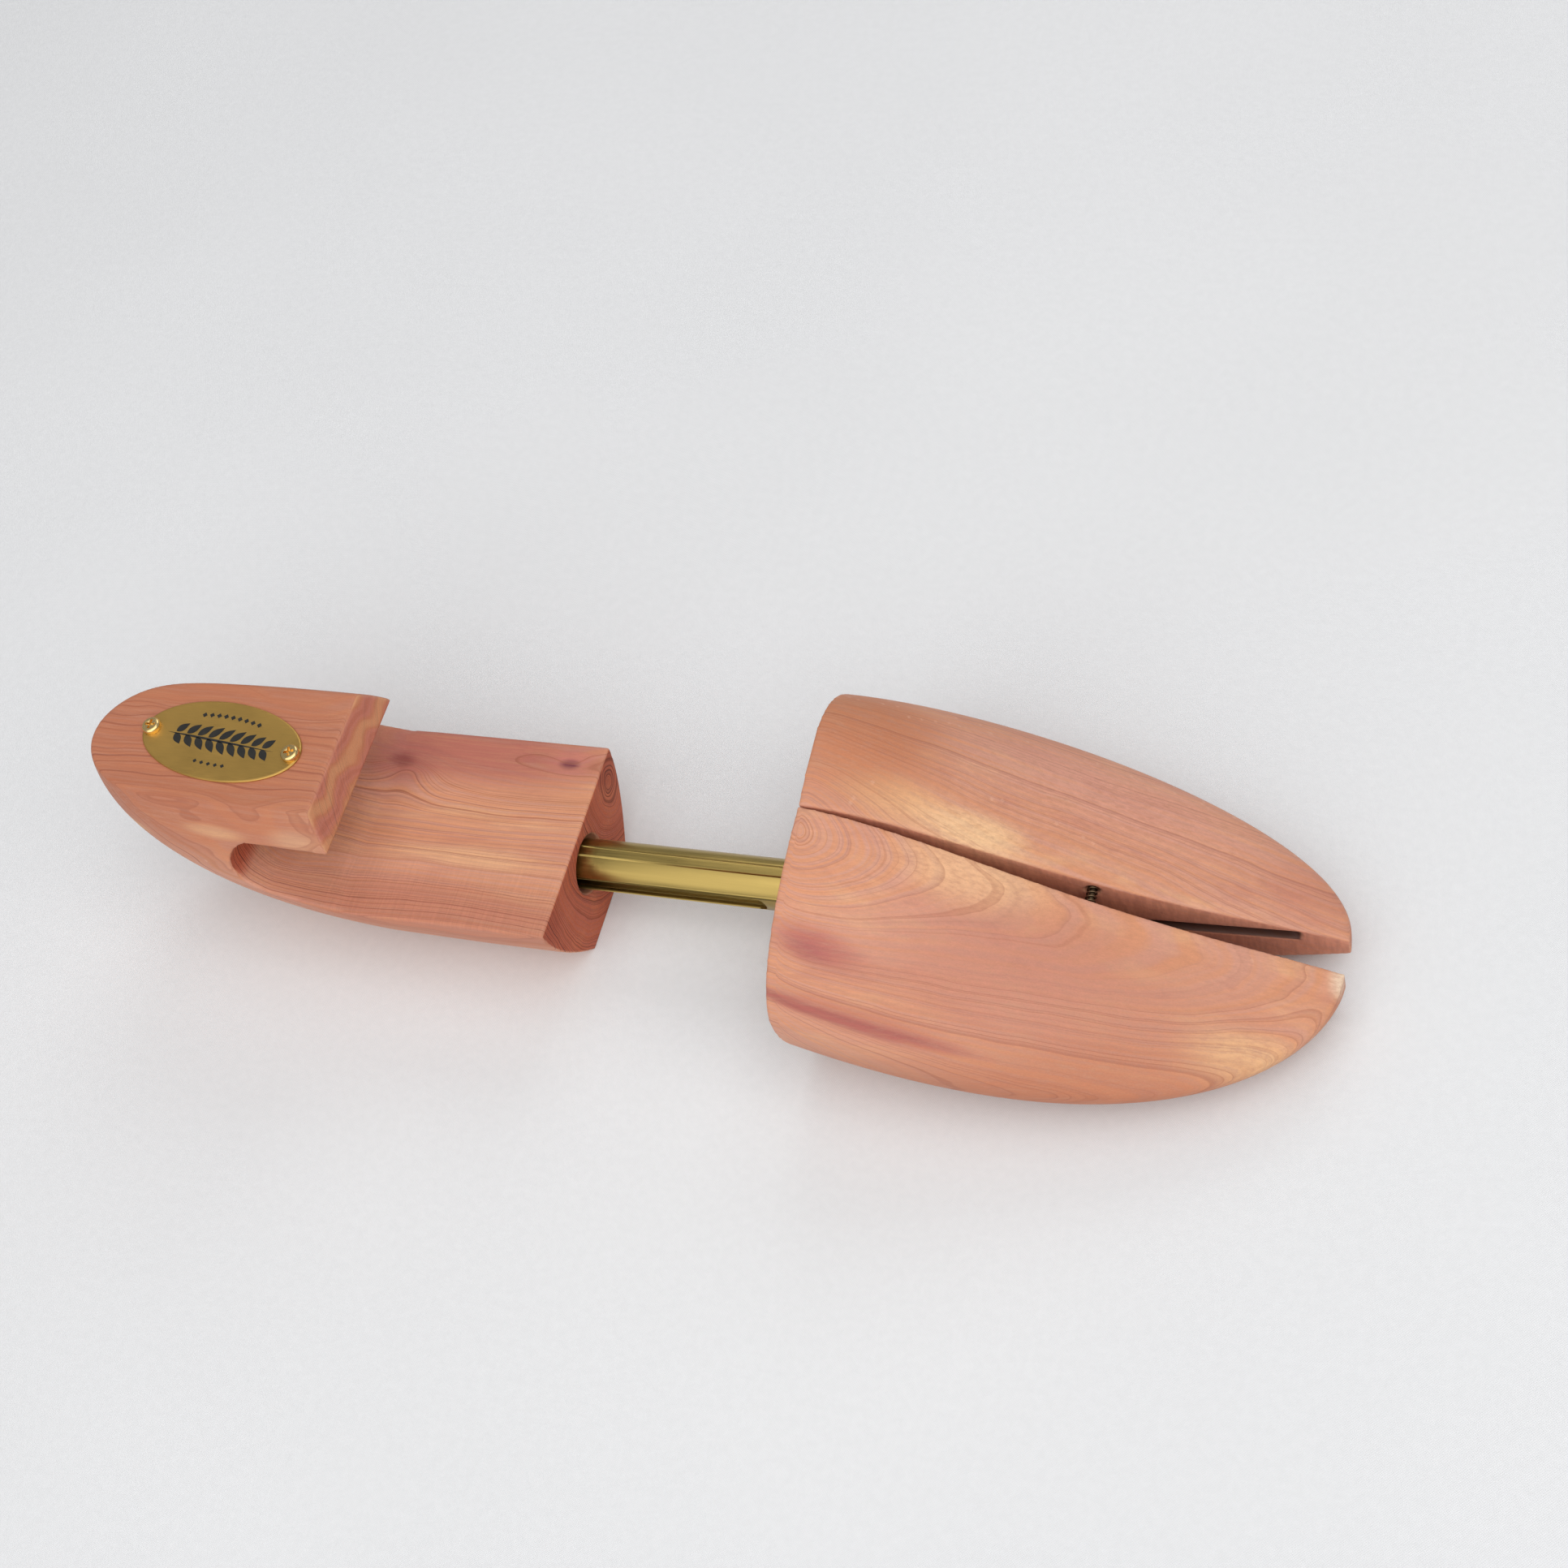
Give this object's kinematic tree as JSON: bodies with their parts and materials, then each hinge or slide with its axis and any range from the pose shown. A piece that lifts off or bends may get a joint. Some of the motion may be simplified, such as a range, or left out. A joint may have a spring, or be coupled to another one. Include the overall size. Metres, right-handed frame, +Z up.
{
  "type": "shoe tree",
  "caption": "Cedar shoe tree with a hooked heel block, a sprung slotted brass tube, and a toe block split into halves that pivot apart under a small spring.",
  "frame": {"origin": "on the resting surface, midway between the back of the heel block and the tip of the toe block, under the axis of the tube", "axes": "+X from heel to toe, +Z up, +Y to the side of the big toe (far side in the picture)"},
  "size_m": [0.2669, 0.0797, 0.0528],
  "materials": {
    "cedar": "fine sanded, unfinished aromatic red cedar",
    "plate_brass": "satin",
    "screw_brass": "polished",
    "tube_brass": "bright plated",
    "steel": "plain zinc plated"
  },
  "bodies": {
    "heel": {"heel_block": "cedar", "oval_plate": "plate_brass", "plate_screw_front": "screw_brass", "plate_screw_rear": "screw_brass", "retaining_pin": "steel", "main_spring": "steel"},
    "seat": {"spring_seat": "steel"},
    "tube": {"slotted_tube": "tube_brass", "tongue_plate": "steel", "tongue_rivet_front": "steel", "tongue_rivet_rear": "steel", "spreader_spring": "steel", "guide_pin": "steel"},
    "toe_near": {"toe_half_near": "cedar", "pivot_pin_near": "steel"},
    "toe_far": {"toe_half_far": "cedar", "pivot_pin_far": "steel"}
  },
  "joints": [
    {"name": "tube_slide", "type": "slide", "parent": "heel", "child": "seat", "axis": [-1, 0, 0], "range_m": [0, 0.032], "stiffness_N_per_m": 1700, "springref_m": -0.005, "deforming": ["main_spring"]},
    {"name": "heel_rock", "type": "hinge", "parent": "seat", "child": "tube", "pos_m": [0.0295, 0, 0.016], "axis": [1, 0, 0], "range_deg": [-9, 9]},
    {"name": "toe_near_pivot", "type": "hinge", "parent": "tube", "child": "toe_near", "pos_m": [0.0495, -0.009, 0.016], "axis": [0, 0, 1], "range_deg": [0, 2.25], "stiffness_Nm_per_rad": 1.8, "springref_deg": -4.58, "deforming": ["spreader_spring"]},
    {"name": "toe_far_pivot", "type": "hinge", "parent": "tube", "child": "toe_far", "pos_m": [0.0495, 0.009, 0.016], "axis": [0, 0, -1], "range_deg": [0, 2.25], "stiffness_Nm_per_rad": 1.8, "springref_deg": -4.58, "deforming": ["spreader_spring"]}
  ]
}
